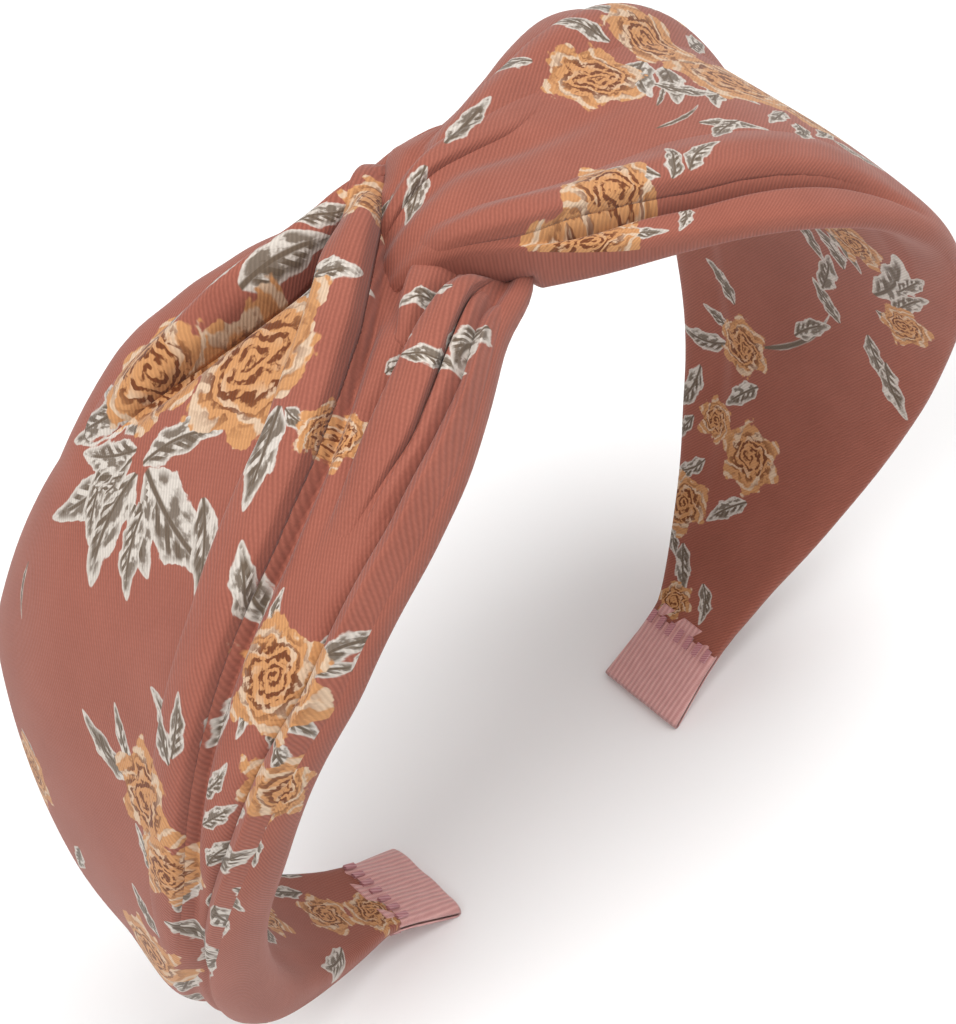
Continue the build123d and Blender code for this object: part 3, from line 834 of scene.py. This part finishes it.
def ribbon_face(side, path, q, inset):
    """One face of the ribbon. path runs 0 to 1 out, 1 to 2 round the end and 2 to 3 back."""
    reach = RIBBON_FOLD - RIBBON_START
    out = RIBBON_START + reach * np.clip(path, 0, 1) - reach * np.clip(path - 2, 0, 1)
    turn = math.pi * np.clip(path - 1, 0, 1)
    d = out + (RIBBON_TURN - inset) * np.sin(turn)
    t = follow(d, RIBBON_HALF, 2) * q
    round_edge = np.maximum(1 - np.abs(q) ** 6, 0) ** 0.5
    gap = RIBBON_PINCHED + (RIBBON_GAP - RIBBON_PINCHED) * round_edge - inset
    soft = 0.10 * np.sin(0.9 * t + 0.5 * d) * round_edge
    face = place(side, d + 0 * t, t, RIBBON_MIDDLE + gap * np.cos(turn) + soft)
    face[..., 2] = np.maximum(face[..., 2], FLOOR_GAP)
    return face, t


def make_ribbon(name, side):
    """A strip of ribbon folded over the end of a tip, with its long edges pressed together."""
    path = np.concatenate([np.linspace(0, 1, 36), np.linspace(1, 2, 13)[1:], np.linspace(2, 3, 36)[1:]])
    path = path[:, None]
    q = np.sin(np.linspace(-1, 1, 41)[None, :] * math.pi / 2)
    outer, t = ribbon_face(side, path, q, 0.0)
    inner, _ = ribbon_face(side, path, q, RIBBON_THICKNESS)
    inner[:, 0], inner[:, -1] = outer[:, 0], outer[:, -1]
    along = RIBBON_RUN * path
    uv = np.stack([np.broadcast_to(along, t.shape), t], -1)
    return ring_mesh(name, outer, inner, uv, uv)


# ---------------------------------------------------------------- build
def use(piece, material):
    piece.data.materials.clear()
    piece.data.materials.append(material)


def blend_over_hinge(piece):
    """Bakes the piece's placement into its mesh."""
    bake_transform(piece)


CLOTH = floral_twill()
RIBBON = grosgrain()
THREAD = thread()
PLASTIC = core_plastic()

prints = {"left": (LEFT_LEAVES, LEFT_ROSES, NEAR_LEAVES, NEAR_ROSES),
          "right": (RIGHT_LEAVES, RIGHT_ROSES, FAR_LEAVES, FAR_ROSES)}
for fold in FOLDS:
    word, wrap = ("left", LEFT) if fold.side < 0 else ("right", RIGHT)
    pleat = make_fold(fold, wrap)
    print_cloth(pleat, *prints[word][:2])
    use(pleat, CLOTH)
    blend_over_hinge(pleat)

for word, wrap in (("left", LEFT), ("right", RIGHT)):
    cover = make_wrap(f"{word}_cover", wrap)
    print_cloth(cover, *prints[word])
    use(cover, CLOTH)
    blend_over_hinge(cover)
    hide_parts(f"{word}_panel_front_leg", f"{word}_panel_back_leg", f"{word}_foam_pad",
                f"{word}_inner_lining", f"{word}_knot_loop")
    sleeve = make_ribbon(f"{word}_ribbon_sleeve", wrap.side)
    use(sleeve, RIBBON)
    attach(sleeve, f"{word}_arm")
    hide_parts(f"{word}_tip_ribbon")
    if word == "left":
        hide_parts("crown_lining")

for node, material in (("crown_core", PLASTIC), ("left_core_arm", PLASTIC), ("right_core_arm", PLASTIC),
                       ("knot_tacks", THREAD), ("left_gather_stitches", THREAD),
                       ("right_gather_stitches", THREAD)):
    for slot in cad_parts[node].material_slots:
        slot.material = material


# ---------------------------------------------------------------- floor, light and camera
def make_floor():
    bpy.ops.mesh.primitive_plane_add(size=6)
    floor = bpy.context.object
    floor.name = "floor"
    material, _, shader = new_material("pale_floor", 0.9, 0.0)
    shader.inputs["Base Color"].default_value = (0.86, 0.86, 0.86, 1)
    floor.data.materials.append(material)


def area_light(name, azimuth, elevation, distance, size, power):
    """A soft light aimed at the band's middle. Azimuth 0 is in front and 90 on the right."""
    a, e = math.radians(azimuth), math.radians(elevation)
    away = Vector((math.sin(a) * math.cos(e), -math.cos(a) * math.cos(e), math.sin(e)))
    data = bpy.data.lights.new(name, "AREA")
    data.size, data.energy = size, power
    lamp = bpy.data.objects.new(name, data)
    lamp.location = Vector((0, 0, 0.08)) + away * distance
    lamp.rotation_euler = (-away).to_track_quat("-Z", "Y").to_euler()
    bpy.context.scene.collection.objects.link(lamp)


def make_camera(azimuth, elevation, roll, distance, target, lens, shift):
    a, e, r = (math.radians(x) for x in (azimuth, elevation, roll))
    back = Vector((math.sin(a) * math.cos(e), -math.cos(a) * math.cos(e), math.sin(e)))
    level = Vector((math.cos(a), math.sin(a), 0))
    up = back.cross(level)
    x_axis = level * math.cos(r) + up * math.sin(r)
    y_axis = up * math.cos(r) - level * math.sin(r)
    data = bpy.data.cameras.new("camera")
    data.sensor_fit = "HORIZONTAL"
    data.sensor_width, data.lens = 36, lens
    data.shift_x, data.shift_y = shift
    data.clip_start, data.clip_end = 0.01, 20
    camera = bpy.data.objects.new("camera", data)
    camera.matrix_world = Matrix.Translation(target + back * distance) @ Matrix(
        (x_axis, y_axis, back)).transposed().to_4x4()
    bpy.context.scene.collection.objects.link(camera)
    bpy.context.scene.camera = camera


def make_stage():
    make_floor()
    bpy.context.scene.view_settings.view_transform = "Standard"
    world = bpy.data.worlds.new("studio")
    bpy.context.scene.world = world
    world.use_nodes = True
    sky = world.node_tree.nodes["Background"].inputs
    sky["Color"].default_value = (1, 0.99, 0.98, 1)
    sky["Strength"].default_value = 0.5
    area_light("key", -80, 50, 1.3, 0.7, 10.5)
    area_light("fill", 55, 35, 1.5, 1.2, 3.8)
    area_light("top", 60, 78, 1.4, 0.9, 13.5)


make_stage()
make_camera(azimuth=-38.4, elevation=50.2, roll=-6.45, distance=0.3675, target=Vector((0, 0, 0.0815)),
            lens=88.3, shift=(-0.0275, -0.0038))
